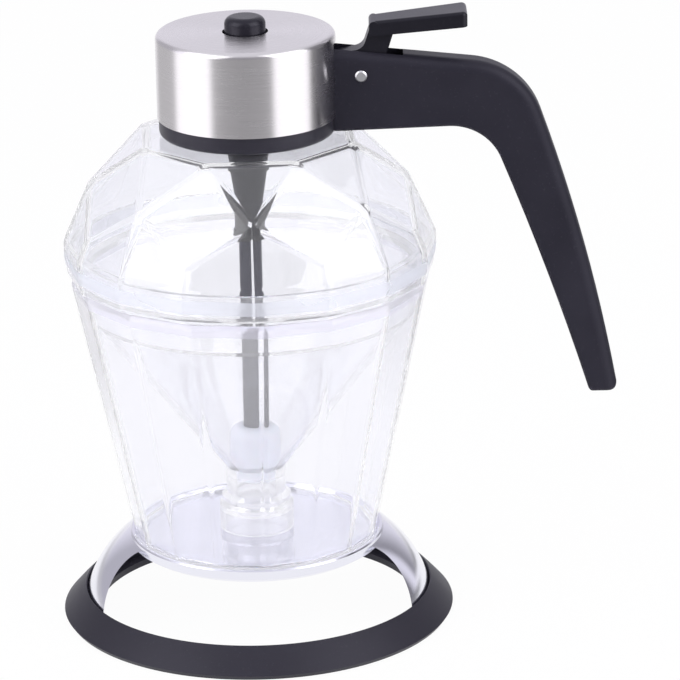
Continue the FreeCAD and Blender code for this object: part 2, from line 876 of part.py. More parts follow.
def make_handle():
    body = new_body("handle")
    sketch = new_sketch(body, "HandleOutline", "XZ_Plane")
    start = insert_radius - 4.0
    arm_drop = tangent(d.arm_slope)
    low_rise = tangent(d.arm_low_slope)
    top_end = handle_top - arm_drop * (d.arm_length - start)
    low_end = arm_low + low_rise * (arm_low_length - start)
    reach = d.tip_outer - d.arm_length
    spots = {
        "root_top": (start, handle_top),
        "arm_end": (d.arm_length, top_end),
        "elbow_end": (d.arm_length + reach * 0.464, top_end - reach * 0.366),
        "tip_out": (d.tip_outer, tip_low),
        "tip_in": (tip_inner, tip_low),
        "inner_end": (arm_low_length + reach * 0.354, low_end - reach * 0.231),
        "arm_low_end": (arm_low_length, low_end),
        "root_low": (start, arm_low),
    }
    place = {n: FreeCAD.Vector(x.value, y.value, 0) for n, (x, y) in spots.items()}
    way = [
        ("root_top", "arm_end", None, False),
        ("arm_end", "elbow_end", d.elbow_outer, False),
        ("elbow_end", "tip_out", d.grip_outer, False),
        ("tip_out", "tip_in", None, False),
        ("tip_in", "inner_end", d.grip_inner, True),
        ("inner_end", "arm_low_end", d.elbow_inner, True),
        ("arm_low_end", "root_low", None, False),
        ("root_low", "root_top", None, False),
    ]
    edges = []
    for first, last, radius, left in way:
        size = radius.value if radius else 0.0
        edges.append(add_edge(sketch, place[first], place[last], size, left))
    for i, (edge, _, end) in enumerate(edges):
        follower, start_end, _ = edges[(i + 1) % len(edges)]
        smooth = way[i][1] in ("arm_end", "elbow_end", "inner_end", "arm_low_end")
        kind = "Tangent" if smooth else "Coincident"
        sketch.addConstraint(Sketcher.Constraint(kind, edge, end, follower, start_end))
        if way[i][2]:
            hold_radius(sketch, edge, way[i][2])
        if way[i][1] in ("root_top", "arm_end", "tip_out", "tip_in", "arm_low_end", "root_low"):
            hold_point(sketch, edge, end, *spots[way[i][1]])
    pad(body, sketch, d.handle_width)
    soften(body, d.back_round, back_edge)
    soften(body, d.front_round, front_edge)
    below = tip_low - 1.0
    above = tip_low + d.tip_round
    tip = outline(new_sketch(body, "TipRounding", "XZ_Plane"), [
        (tip_inner - 3.0, below),
        (d.tip_outer + 3.0, below),
        (d.tip_outer + 3.0, above),
        (d.tip_outer - d.tip_round * 0.18, above),
        (d.tip_outer - d.tip_round * 1.1, tip_low, d.tip_round, "right"),
        (tip_inner + d.tip_round * 0.8, tip_low),
        (tip_inner - d.tip_round * 0.3, above, d.tip_round, "right"),
        (tip_inner - 3.0, above),
    ])
    pocket(body, tip)
    band = insert_radius + d.band_step + d.bond_gap
    root_seat = outline(new_sketch(body, "RootSeat", "XZ_Plane"), [
        (0.0, arm_low - 5.0),
        (band, arm_low - 5.0),
        (band, shell_low + d.bond_gap),
        (insert_radius + d.bond_gap, shell_low + d.bond_gap),
        (insert_radius + d.bond_gap, handle_top + 5.0),
        (0.0, handle_top + 5.0),
    ])
    revolve(body, root_seat, "Groove")
    slot = outline(new_sketch(body, "LeverSlot", "XZ_Plane"), [
        (start - 1.0, handle_top - d.slot_depth),
        (pin_x + d.slot_reach, handle_top - d.slot_depth),
        (pin_x + d.slot_reach, handle_top + 5.0),
        (start - 1.0, handle_top + 5.0),
    ])
    pocket(body, slot, depth=d.lever_slot_width)
    hole = circle(new_sketch(body, "PinHole", "XZ_Plane"), pin_x, pin_high,
                  d.pin_radius + d.bond_gap)
    pocket(body, hole)
    pilot_depth = insert_bore + d.screw_length + 1.0
    screw_holes(body, "ScrewPilots", d.screw_radius + d.bond_gap, pilot_depth)
    return body


def on_side(edge):
    # true for an edge that lies in one of the handle's two flat sides
    box = edge.BoundBox
    return box.YLength < 0.01 and abs(box.Center.y) > 1.0


def back_edge(edge):
    middle = edge.valueAt((edge.FirstParameter + edge.LastParameter) / 2)
    along = (middle.x - sizes["arm_length"]) / (sizes["tip_outer"] - sizes["arm_length"])
    outside = middle.z > arm_low.value + 8.0 or (along > 0.3 and outer_side(middle))
    return on_side(edge) and outside and middle.x > shell_radius.value + 2.0


def front_edge(edge):
    middle = edge.valueAt((edge.FirstParameter + edge.LastParameter) / 2)
    return on_side(edge) and middle.x > shell_radius.value + 2.0 and not back_edge(edge)


def outer_side(point):
    # right of the line through the middle of the grip
    top = (sizes["arm_length"] + 16.0, arm_low.value - 4.0)
    tip = ((sizes["tip_outer"] + tip_inner.value) / 2, tip_low.value)
    share = (top[1] - point.z) / (top[1] - tip[1])
    return point.x > top[0] + share * (tip[0] - top[0])


def make_handle_screws():
    # two countersunk screws from inside the skirt into the handle's root
    body = new_body("handle_screws")
    head = insert_bore + d.bond_gap
    for number, side in enumerate((-0.5, 0.5), 1):
        sketch = new_sketch(body, f"ScrewProfile{number}", "XY_Plane", screw_high)
        y = d.screw_spread * side
        outline(sketch, [
            (head, y),
            (head, y + d.screw_head),
            (head + d.screw_head_depth, y + d.screw_radius),
            (head + d.screw_length, y + d.screw_radius),
            (head + d.screw_length + 0.8, y),
        ])
        feature = body.newObject("PartDesign::Revolution", f"Screw{number}")
        feature.Profile = sketch
        feature.ReferenceAxis = (sketch, ["Edge1"])
        feature.Angle = 360.0
    return body


def make_lever_pin():
    body = new_body("lever_pin")
    half = d.handle_width * 0.5 + d.pin_proud
    sketch = new_sketch(body, "PinProfile", "YZ_Plane", pin_x)
    outline(sketch, [
        (-half, pin_high),
        (-half, pin_high + d.pin_radius - 0.4),
        (-half + 0.4, pin_high + d.pin_radius),
        (half - 0.4, pin_high + d.pin_radius),
        (half, pin_high + d.pin_radius - 0.4),
        (half, pin_high),
    ])
    feature = body.newObject("PartDesign::Revolution", "PinTurn")
    feature.Profile = sketch
    feature.ReferenceAxis = (sketch, ["Edge1"])
    feature.Angle = 360.0
    return body


def make_lever():
    # thumb pad, curved stem, hub on the pin, and a fork under the knob's flange
    body = new_body("lever")
    arm_top = fork_low + d.fork_thick
    toe_high = handle_top - d.toe_drop
    toe_end = shell_radius + d.toe_gap
    stem = outline(new_sketch(body, "LeverStem", "XZ_Plane"), [
        (d.fork_root - 4.0, fork_low),
        (pin_x - 7.0, pin_high - 0.2),
        (pin_x - 2.4, pin_high - d.hub_radius + 0.8),
        (pin_x + 3.0, pin_high - d.hub_radius + 1.5, d.hub_radius, "left"),
        (pin_x + 7.8, handle_top - 0.6),
        (pin_x + 9.3, thumb_start_high - d.thumb_thick + 1.4),
        (pin_x + 9.3, thumb_start_high - 2.0),
        (thumb_start + 0.2, thumb_start_high - 2.0),
        (thumb_start - 1.1, toe_high + d.toe_round),
        (thumb_start - 1.1 - d.toe_round, toe_high + 0.9, d.toe_round, "right"),
        (toe_end, toe_high),
        (toe_end, arm_top + d.arm_step),
        (d.fork_root - 4.0, arm_top),
    ])
    pad(body, stem, d.stem_width)
    slope = (thumb_end_high - thumb_start_high) / (thumb_end - thumb_start)
    lower = d.thumb_thick * 0.95
    thumb = outline(new_sketch(body, "ThumbPad", "XZ_Plane"), [
        (thumb_start, thumb_start_high - lower),
        (thumb_end, thumb_end_high - d.thumb_thick),
        (thumb_end, thumb_end_high - d.thumb_round),
        (thumb_end - d.thumb_round, thumb_end_high - slope * d.thumb_round,
         d.thumb_round, "left"),
        (thumb_start + d.thumb_round, thumb_start_high + slope * d.thumb_round),
        (thumb_start, thumb_start_high - d.thumb_round, d.thumb_round, "left"),
    ])
    pad(body, thumb, d.thumb_width + 2.0)
    spread = (d.thumb_width - d.thumb_root_width) * 0.5
    grow = spread / d.thumb_length
    sides = new_sketch(body, "ThumbSides", "XY_Plane")
    for side in (-1.0, 1.0):
        outline(sides, [
            (thumb_start - 1.0, (d.thumb_root_width * 0.5 - grow) * side),
            (thumb_end + 1.0, (d.thumb_width * 0.5 + grow) * side),
            (thumb_end + 1.0, (d.thumb_width * 0.5 + 2.0) * side),
            (thumb_start - 1.0, (d.thumb_width * 0.5 + 2.0) * side),
        ])
    pocket(body, sides)
    soften(body, d.thumb_corner, lambda e: e.BoundBox.YLength < 0.01
           and e.BoundBox.XLength < 0.01 and e.BoundBox.Center.x > thumb_end.value - 0.1)
    soften(body, d.thumb_round * 0.8, lambda e: e.BoundBox.XLength > 20.0
           and e.BoundBox.Center.z > thumb_start_high.value - 1.0)
    fork = outline(new_sketch(body, "Fork", "XZ_Plane"), [
        (-d.fork_reach, fork_low),
        (d.fork_root, fork_low),
        (d.fork_root, arm_top),
        (d.fork_pad_half, arm_top),
        (d.fork_pad_half * 0.4, fork_top),
        (-d.fork_pad_half * 0.4, fork_top),
        (-d.fork_pad_half, arm_top),
        (-d.fork_reach, arm_top),
    ])
    pad(body, fork, d.fork_width)
    gap = d.rod_radius + d.rest_gap
    pocket(body, circle(new_sketch(body, "ForkEye", "XY_Plane"), 0.0, 0.0, gap))
    mouth = outline(new_sketch(body, "ForkMouth", "XY_Plane"), [
        (-d.fork_reach - 2.0, -gap),
        (0.0, -gap),
        (0.0, gap),
        (-d.fork_reach - 2.0, gap),
    ])
    pocket(body, mouth)
    bore = circle(new_sketch(body, "LeverBore", "XZ_Plane"), pin_x, pin_high,
                  d.pin_radius + d.run_gap)
    pocket(body, bore)
    return body


nodes = [
    make_base_ring(),
    make_stand_frame(),
    make_drip_cup(),
    make_jar_dome(),
    make_jar_funnel(),
    make_outlet_nozzle(),
    make_cap_shell(),
    make_cap_insert(),
    make_cap_seal(),
    make_guide_tube(),
    make_tube_wiper(),
    make_guide_bush(),
    make_handle(),
    make_handle_screws(),
    make_lever_pin(),
    make_lever(),
    make_knob(),
    make_plunger_rod(),
    make_stopper(),
    make_spring_clip(),
    make_return_spring(),
]
doc.recompute()

for thing in doc.Objects:
    if "Invalid" in thing.State or "Error" in thing.State:
        raise RuntimeError(f"{thing.Label} failed: {thing.State}")
for node in nodes:
    if node.Shape.isNull() or not node.Shape.isValid():
        raise RuntimeError(f"{node.Label} has no valid shape")
for node in nodes:
    node.Shape.exportStep(f"parts/{node.Label}.step")
    box = node.Shape.optimalBoundingBox(False)
    print(f"{node.Label}: volume {node.Shape.Volume:.0f}, solids {len(node.Shape.Solids)}, "
          f"x {box.XMin:.1f} {box.XMax:.1f}, y {box.YMin:.1f} {box.YMax:.1f}, "
          f"z {box.ZMin:.1f} {box.ZMax:.1f}")
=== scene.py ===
import itertools
import math

import bpy
import numpy as np
from mathutils import Matrix


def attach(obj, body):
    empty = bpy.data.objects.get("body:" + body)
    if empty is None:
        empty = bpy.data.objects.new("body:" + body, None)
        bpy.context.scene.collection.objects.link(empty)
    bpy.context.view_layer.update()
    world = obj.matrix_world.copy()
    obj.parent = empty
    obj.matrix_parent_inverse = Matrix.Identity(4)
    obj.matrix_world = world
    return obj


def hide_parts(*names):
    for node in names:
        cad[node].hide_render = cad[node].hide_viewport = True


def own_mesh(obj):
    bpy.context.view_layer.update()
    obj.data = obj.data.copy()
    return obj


# A clear honey dispenser: a faceted jar over a faceted drip cup, a brushed steel cap with a
# black handle and thumb lever, and a polished stand on a black ring. Metres, +Z up, handle along +X.
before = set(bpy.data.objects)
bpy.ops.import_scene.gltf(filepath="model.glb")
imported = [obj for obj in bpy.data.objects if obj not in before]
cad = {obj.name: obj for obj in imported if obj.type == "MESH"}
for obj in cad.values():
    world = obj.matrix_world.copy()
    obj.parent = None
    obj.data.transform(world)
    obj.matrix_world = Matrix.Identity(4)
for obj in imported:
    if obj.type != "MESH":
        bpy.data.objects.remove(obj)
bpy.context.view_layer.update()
mm = 0.001

# the camera stands where the photograph's did, worked out from the rings and edges of the object
cameraSet = {
    "place": (22.22, -1132.3, 469.7),  # mm
    "turn": 0.131,                     # degrees, to the right
    "tilt": -18.977,                   # degrees, down
    "roll": -1.004,                    # degrees
    "lens": 223.2,                     # mm on a 36 mm sensor
}


def makeCamera(s):
    # the view direction from turn and tilt, then the picture's right and up turned by the roll
    turn, tilt, roll = (math.radians(s[k]) for k in ("turn", "tilt", "roll"))
    ahead = np.array([math.sin(turn) * math.cos(tilt), math.cos(turn) * math.cos(tilt), math.sin(tilt)])
    right = np.array([math.cos(turn), -math.sin(turn), 0.0])
    up = np.cross(right, ahead)
    across = right * math.cos(roll) + up * math.sin(roll)
    upward = up * math.cos(roll) - right * math.sin(roll)
    data = bpy.data.cameras.new("camera")
    data.lens = s["lens"]
    data.sensor_width = 36.0
    data.clip_start = 0.05
    data.clip_end = 60.0
    camera = bpy.data.objects.new("camera", data)
    bpy.context.scene.collection.objects.link(camera)
    axes = np.eye(4)
    axes[:3, 0], axes[:3, 1], axes[:3, 2] = across, upward, -ahead
    axes[:3, 3] = np.array(s["place"]) * mm
    camera.matrix_world = Matrix(axes.tolist())
    bpy.context.scene.camera = camera


makeCamera(cameraSet)
bpy.context.scene.view_settings.view_transform = "Standard"
print("camera ready")


# node building

def put(tree, kind, settings=None, **inputs):
    # one node; settings are its own values, inputs its sockets by name or number
    node = tree.nodes.new(kind)
    for key, value in (settings or {}).items():
        setattr(node, key, value)
    for key, value in inputs.items():
        socket = node.inputs[int(key[1:])] if key[0] == "n" and key[1:].isdigit() else node.inputs[key.replace("_", " ")]
        if isinstance(value, bpy.types.NodeSocket):
            tree.links.new(value, socket)
        else:
            socket.default_value = value
    return node


def calc(tree, what, *values):
    # a math node; the values are numbers or sockets
    return put(tree, "ShaderNodeMath", {"operation": what}, **{f"n{i}": v for i, v in enumerate(values)}).outputs[0]


def blendColour(tree, amount, first, second):
    node = put(tree, "ShaderNodeMix", {"data_type": "RGBA"})
    for index, value in ((0, amount), (6, first), (7, second)):
        if isinstance(value, bpy.types.NodeSocket):
            tree.links.new(value, node.inputs[index])
        else:
            node.inputs[index].default_value = value
    return node.outputs[2]


def spread(tree, value, low, high):
    # moves a value between 0 and 1 to between low and high
    return put(tree, "ShaderNodeMapRange", n0=value, n3=low, n4=high).outputs[0]


def startGroup(name, inputs, outputs):
    group = bpy.data.node_groups.new(name, "ShaderNodeTree")
    for label, kind, value in inputs:
        socket = group.interface.new_socket(name=label, in_out="INPUT", socket_type=kind)
        socket.default_value = value
    for label, kind in outputs:
        group.interface.new_socket(name=label, in_out="OUTPUT", socket_type=kind)
    return group, put(group, "NodeGroupInput").outputs, put(group, "NodeGroupOutput").inputs


def startMaterial(name, colour, **values):
    # a Principled material with its plain values set; returns the material, tree and shader
    material = bpy.data.materials.new(name)
    material.use_nodes = True
    tree = material.node_tree
    shader = tree.nodes["Principled BSDF"]
    shader.inputs["Base Color"].default_value = (*colour, 1.0)
    material.diffuse_color = (*colour, 1.0)
    for key, value in values.items():
        shader.inputs[key.replace("_", " ")].default_value = value
    return material, tree, shader


def useGroup(tree, group, **inputs):
    return put(tree, "ShaderNodeGroup", {"node_tree": group}, **inputs)


def bumpFrom(tree, shader, height, depth):
    bump = put(tree, "ShaderNodeBump", Height=height, Distance=depth, Strength=1.0)
    tree.links.new(bump.outputs[0], shader.inputs["Normal"])


def makeGrainGroup():
    # moulded grain: fine noise for the height, slow noise for where the surface is a little worn
    group, given, result = startGroup(
        "mouldedGrain",
        [("Grain", "NodeSocketFloat", 4000.0), ("Rub", "NodeSocketFloat", 60.0)],
        [("Height", "NodeSocketFloat"), ("Wear", "NodeSocketFloat"), ("Speck", "NodeSocketFloat")],
    )
    place = put(group, "ShaderNodeTexCoord").outputs["Object"]
    fine = put(group, "ShaderNodeTexNoise", Vector=place, Scale=given["Grain"], Detail=2.0)
    slow = put(group, "ShaderNodeTexNoise", Vector=place, Scale=given["Rub"], Detail=4.0)
    tiny = put(group, "ShaderNodeTexNoise", Vector=place, Scale=calc(group, "MULTIPLY", given["Grain"], 0.35), Detail=1.0)
    group.links.new(fine.outputs[0], result["Height"])
    group.links.new(slow.outputs[0], result["Wear"])
    speck = put(group, "ShaderNodeMapRange", n0=tiny.outputs[0], n1=0.66, n2=0.74)
    group.links.new(speck.outputs[0], result["Speck"])
    return group


def makeBrushGroup():
    # lines turned round the axis: noise over radius plus height, slow along the angle
    group, given, result = startGroup(
        "turnedBrush",
        [("Lines", "NodeSocketFloat", 2600.0), ("Reach", "NodeSocketFloat", 1.6)],
        [("Line", "NodeSocketFloat"), ("Band", "NodeSocketFloat")],
    )
    place = put(group, "ShaderNodeTexCoord").outputs["Object"]
    part = put(group, "ShaderNodeSeparateXYZ", n0=place).outputs
    flat = put(group, "ShaderNodeCombineXYZ", n0=part[0], n1=part[1]).outputs[0]
    radius = put(group, "ShaderNodeVectorMath", {"operation": "LENGTH"}, n0=flat).outputs[1]
    unit = put(group, "ShaderNodeVectorMath", {"operation": "NORMALIZE"}, n0=flat).outputs[0]
    side = put(group, "ShaderNodeVectorMath", {"operation": "SCALE"}, n0=unit, Scale=given["Reach"]).outputs[0]
    around = put(group, "ShaderNodeSeparateXYZ", n0=side).outputs
    run = calc(group, "MULTIPLY", calc(group, "ADD", radius, part[2]), given["Lines"])
    where = put(group, "ShaderNodeCombineXYZ", n0=around[0], n1=around[1], n2=run).outputs[0]
    line = put(group, "ShaderNodeTexNoise", Vector=where, Scale=1.0, Detail=3.0, Roughness=0.7)
    wide = put(group, "ShaderNodeCombineXYZ", n0=around[0], n1=around[1], n2=calc(group, "MULTIPLY", run, 0.12)).outputs[0]
    band = put(group, "ShaderNodeTexNoise", Vector=wide, Scale=1.0, Detail=2.0)
    group.links.new(line.outputs[0], result["Line"])
    group.links.new(band.outputs[0], result["Band"])
    return group


def makeRippleGroup():
    # clear moulding: long faint waves, and a haze that comes and goes
    group, given, result = startGroup(
        "mouldRipple",
        [("Waves", "NodeSocketFloat", 45.0), ("Haze", "NodeSocketFloat", 25.0)],
        [("Height", "NodeSocketFloat"), ("Cloud", "NodeSocketFloat")],
    )
    place = put(group, "ShaderNodeTexCoord").outputs["Object"]
    wave = put(group, "ShaderNodeTexNoise", Vector=place, Scale=given["Waves"], Detail=1.0)
    cloud = put(group, "ShaderNodeTexNoise", Vector=place, Scale=given["Haze"], Detail=3.0)
    group.links.new(wave.outputs[0], result["Height"])
    group.links.new(cloud.outputs[0], result["Cloud"])
    return group


grainGroup = makeGrainGroup()
brushGroup = makeBrushGroup()
rippleGroup = makeRippleGroup()


def plasticMaterial(name, colour, roughness, gloss=0.3, bloom=0.0, grain=4200.0, depth=0.00002, swing=0.08):
    # moulded plastic: colour and gloss drift with the wear, the grain lifts the surface; bloom is the
    # pale film that shows on the slant
    material, tree, shader = startMaterial(
        name, colour, Roughness=roughness, Specular_IOR_Level=gloss, Specular_Tint=(0.9, 0.88, 1.0, 1.0),
        Sheen_Weight=bloom, Sheen_Roughness=0.4, Sheen_Tint=(0.8, 0.79, 1.0, 1.0))
    look = useGroup(tree, grainGroup, Grain=grain)
    pale = tuple(c * 1.25 + 0.004 for c in colour) + (1.0,)
    deep = tuple(c * 0.85 for c in colour) + (1.0,)
    dust = tuple(min(c * 1.6 + 0.03, 1.0) for c in colour) + (1.0,)
    face = blendColour(tree, look.outputs["Wear"], deep, pale)
    speck = calc(tree, "MULTIPLY", look.outputs["Speck"], 0.2)
    tree.links.new(blendColour(tree, speck, face, dust), shader.inputs["Base Color"])
    tree.links.new(spread(tree, look.outputs["Wear"], roughness - swing, roughness + swing), shader.inputs["Roughness"])
    bumpFrom(tree, shader, look.outputs["Height"], depth)
    return material


def brushedMaterial(name, colour, roughness, lines=2600.0, stretch=0.75):
    # turned steel: the fine lines shade the colour and roughness and tilt the surface a little
    material, tree, shader = startMaterial(
        name, colour, Metallic=1.0, Roughness=roughness, Anisotropic=stretch, Anisotropic_Rotation=0.25)
    look = useGroup(tree, brushGroup, Lines=lines)
    pale = tuple(min(c * 1.07, 1.0) for c in colour) + (1.0,)
    deep = tuple(c * 0.93 for c in colour) + (1.0,)
    tree.links.new(blendColour(tree, look.outputs["Line"], deep, pale), shader.inputs["Base Color"])
    rough = calc(tree, "ADD", spread(tree, look.outputs["Line"], roughness - 0.05, roughness + 0.05), spread(tree, look.outputs["Band"], -0.04, 0.04))
    tree.links.new(rough, shader.inputs["Roughness"])
    tangent = put(tree, "ShaderNodeTangent", {"direction_type": "RADIAL", "axis": "Z"})
    tree.links.new(tangent.outputs[0], shader.inputs["Tangent"])
    bumpFrom(tree, shader, look.outputs["Line"], 0.0000018)
    return material


def metalMaterial(name, colour, roughness, grain=900.0, depth=0.000002):
    # polished or drawn metal with faint handling marks in its gloss
    material, tree, shader = startMaterial(name, colour, Metallic=1.0, Roughness=roughness)
    look = useGroup(tree, grainGroup, Grain=grain)
    tree.links.new(spread(tree, look.outputs["Wear"], roughness * 0.6, roughness * 1.4), shader.inputs["Roughness"])
    dull = tuple(c * 0.93 for c in colour) + (1.0,)
    tree.links.new(blendColour(tree, look.outputs["Wear"], dull, (*colour, 1.0)), shader.inputs["Base Color"])
    bumpFrom(tree, shader, look.outputs["Height"], depth)
    return material


def clearMaterial(name, colour, slant, milk=0.05, roughness=0.012, wave=0.000008, shade=0.12):
    # clear plastic: bends light as acrylic does, with faint moulding waves and a little milk in it.
    # Looked at on the slant more of the plastic is in the way, so its tint deepens to slant.
    # Light passes it on its way to what is behind, so it throws only a pale shadow, and light
    # caught inside a wall is let out after a few turns, as the real wall scatters it out.
    material, tree, shader = startMaterial(name, colour, Roughness=roughness, IOR=1.49, Transmission_Weight=1.0 - milk)
    look = useGroup(tree, rippleGroup)
    tree.links.new(spread(tree, look.outputs["Cloud"], roughness * 0.4, roughness * 1.6), shader.inputs["Roughness"])
    tinted = tuple(c * 0.985 for c in colour) + (1.0,)
    face = blendColour(tree, look.outputs["Cloud"], tinted, (*colour, 1.0))
    facing = put(tree, "ShaderNodeLayerWeight", Blend=0.4).outputs["Facing"]
    tree.links.new(blendColour(tree, facing, face, (*slant, 1.0)), shader.inputs["Base Color"])
    ray = put(tree, "ShaderNodeLightPath").outputs
    thrown = calc(tree, "MAXIMUM", ray["Is Shadow Ray"], ray["Is Diffuse Ray"])
    caught = calc(tree, "GREATER_THAN", ray["Glossy Depth"], 1.5)
    tree.links.new(spread(tree, calc(tree, "MAXIMUM", thrown, caught), 1.0, shade), shader.inputs["Alpha"])
    bumpFrom(tree, shader, look.outputs["Height"], wave)
    return material


def rubberMaterial(name, colour, roughness, see=0.0):
    # silicone: soft, a little see-through at its edges, with a dusty grain
    material, tree, shader = startMaterial(name, colour, Roughness=roughness, Subsurface_Weight=see, Subsurface_Scale=0.003)
    look = useGroup(tree, grainGroup, Grain=2600.0, Rub=140.0)
    dust = tuple(min(c * 1.15 + 0.02, 1.0) for c in colour) + (1.0,)
    tree.links.new(blendColour(tree, look.outputs["Speck"], (*colour, 1.0), dust), shader.inputs["Base Color"])
    tree.links.new(spread(tree, look.outputs["Wear"], roughness - 0.06, roughness + 0.06), shader.inputs["Roughness"])
    bumpFrom(tree, shader, look.outputs["Height"], 0.00002)
    return material


charcoal = (0.0175, 0.0165, 0.025)
finishes = {
    "blackRing": plasticMaterial("blackRing", (0.0145, 0.0135, 0.021), 0.46, 0.36, 0.03),
    "polishedSteel": metalMaterial("polishedSteel", (0.87, 0.87, 0.95), 0.14),
    "clearJar": clearMaterial("clearJar", (0.973, 0.974, 1.0), (0.93, 0.932, 1.0), 0.018),
    "clearCup": clearMaterial("clearCup", (0.975, 0.974, 0.998), (0.937, 0.936, 0.995), 0.05),
    "bondBand": clearMaterial("bondBand", (0.885, 0.905, 0.97), (0.85, 0.875, 0.96), 0.34, 0.28),
    "rimBand": clearMaterial("rimBand", (0.86, 0.85, 0.94), (0.83, 0.82, 0.93), 0.3, 0.12),
    "clearFunnel": clearMaterial("clearFunnel", (0.985, 0.985, 0.998), (0.95, 0.95, 0.995), 0.1),
    "clearOutlet": clearMaterial("clearOutlet", (0.985, 0.985, 0.997), (0.96, 0.96, 0.99), 0.2, 0.12),
    "brushedCap": brushedMaterial("brushedCap", (0.79, 0.77, 0.78), 0.26),
    "blackInsert": plasticMaterial("blackInsert", (0.025, 0.0235, 0.032), 0.35),
    "paleSilicone": rubberMaterial("paleSilicone", (0.8, 0.8, 0.82), 0.5, 0.1),
    "blackGuide": plasticMaterial("blackGuide", (0.012, 0.012, 0.014), 0.4),
    "blackRubber": rubberMaterial("blackRubber", (0.02, 0.02, 0.022), 0.6),
    "bushPlastic": plasticMaterial("bushPlastic", (0.75, 0.75, 0.72), 0.35),
    "blackHandle": plasticMaterial("blackHandle", charcoal, 0.42, 0.22, 0.02),
    "screwSteel": metalMaterial("screwSteel", (0.55, 0.55, 0.56), 0.3),
    "pinSteel": metalMaterial("pinSteel", (0.85, 0.85, 0.88), 0.1),
    "blackLever": plasticMaterial("blackLever", (0.0055, 0.0052, 0.009), 0.34, 0.3, 0.1),
    "blackKnob": plasticMaterial("blackKnob", (0.011, 0.0102, 0.016), 0.27, 0.32, 0.03),
    "rodSteel": metalMaterial("rodSteel", (0.065, 0.064, 0.085), 0.35),
    "stopperSilicone": rubberMaterial("stopperSilicone", (0.76, 0.78, 0.88), 0.45, 0.1),
    "clipSteel": metalMaterial("clipSteel", (0.5, 0.5, 0.52), 0.3),
    "springSteel": metalMaterial("springSteel", (0.6, 0.6, 0.62), 0.25),
}
print("materials ready")

nodeFinish = {
    "base_ring": "blackRing", "stand_frame": "polishedSteel", "drip_cup": "clearCup", "jar_dome": "clearJar",
    "jar_funnel": "clearFunnel", "outlet_nozzle": "clearOutlet", "cap_shell": "brushedCap", "cap_insert": "blackInsert",
    "cap_seal": "paleSilicone", "guide_tube": "blackGuide", "tube_wiper": "blackRubber", "guide_bush": "bushPlastic",
    "handle": "blackHandle", "handle_screws": "screwSteel", "lever_pin": "pinSteel", "lever": "blackLever",
    "knob": "blackKnob", "plunger_rod": "rodSteel", "stopper": "stopperSilicone", "spring_clip": "clipSteel",
    "return_spring": "springSteel",
}
for node, finish in nodeFinish.items():
    cad[node].data.materials.clear()
    cad[node].data.materials.append(finishes[finish])


# pieces that stand for solids whose walls the photograph shows cut flat outside and round inside

def atAngles(radius, height, degrees):
    # points on one level ring: x = r cos a, y = r sin a, z = h
    turn = np.radians(np.asarray(degrees, float))
    return np.stack([radius * np.cos(turn), radius * np.sin(turn), np.full(turn.shape, float(height))], -1)


def meshObject(name, points, faces):
    mesh = bpy.data.meshes.new(name)
    mesh.from_pydata((np.asarray(points) * mm).tolist(), [], faces)
    mesh.validate()
    piece = bpy.data.objects.new(name, mesh)
    bpy.context.scene.collection.objects.link(piece)
    return piece


def ringBands(starts, count):
    # quads between rings of equal count that follow one another, each ring starting where starts says
    step = np.arange(count)
    after = (step + 1) % count
    return [face for low, high in zip(starts[:-1], starts[1:])
            for face in np.stack([low + step, low + after, high + after, high + step], -1).tolist()]


def latheObject(name, profile, around):
    # a profile of (radius, height) carried round the axis, closed by a flat face at each end
    profile = np.asarray(profile, float)
    turn = np.linspace(0, 2 * np.pi, around, endpoint=False)
    radius, height = profile[:, :1], profile[:, 1:]
    points = np.stack([radius * np.cos(turn), radius * np.sin(turn), height + 0 * turn], -1).reshape(-1, 3)
    faces = ringBands([around * i for i in range(len(profile))], around)
    faces += [list(range(around))[::-1], [around * (len(profile) - 1) + i for i in range(around)]]
    return meshObject(name, points, faces)


def finished(piece, *steps):
    # runs the modifiers (kind, settings) on the piece and keeps their result as its mesh
    for kind, settings in steps:
        modifier = piece.modifiers.new(kind.lower(), kind)
        for key, value in settings.items():
            setattr(modifier, key, value)
    graph = bpy.context.evaluated_depsgraph_get()
    mesh = bpy.data.meshes.new_from_object(piece.evaluated_get(graph))
    piece.modifiers.clear()
    old, piece.data = piece.data, mesh
    mesh.name = piece.name
    bpy.data.meshes.remove(old)
    return piece


def roundEdges(piece, width, segments=4):
    return finished(piece, ("BEVEL", {"width": width * mm, "segments": segments, "limit_method": "ANGLE", "angle_limit": math.radians(4)}))


def combine(piece, tool, operation):
    finished(piece, ("BOOLEAN", {"object": tool, "operation": operation, "solver": "EXACT"}))
    mesh = tool.data
    bpy.data.objects.remove(tool)
    bpy.data.meshes.remove(mesh)
    return piece


def dress(piece, body, node, finish, replaces=True):
    # smooth over the rounded edges, flat over the facets, then the finish and the body
    piece.data.shade_smooth()
    piece.data.set_sharp_from_angle(angle=math.radians(38))
    weigh = piece.modifiers.new("weigh", "WEIGHTED_NORMAL")
    weigh.mode, weigh.weight, weigh.keep_sharp = "FACE_AREA", 100, True
    piece.data.materials.clear()
    piece.data.materials.append(finishes[finish])
    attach(piece, body)
    if replaces:
        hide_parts(node)
    return piece


domeSet = {
    "turn": 2.4,          # degrees
    "table": (31.9, 142.2),   # radius and height of the corners, mm
    "break": (45.0, 129.2),
    "kiteTip": (50.06, 117.8),
    "girdleTop": (52.5, 112.3),
    "bondTop": (52.5, 109.2),
    "girdleLow": (52.5, 107.3),
    "bondLow": (52.1, 105.2),
    "rim": (51.5, 102.1),
    "edgeRound": 0.5,
    "inside": 0.9534,     # the room inside is the outside made smaller about this height
    "insideFrom": 91.0,
    "insideRound": 1.5,
    "neck": (20.8, 154.2),
    "mouth": (18.4, 155.4),
}


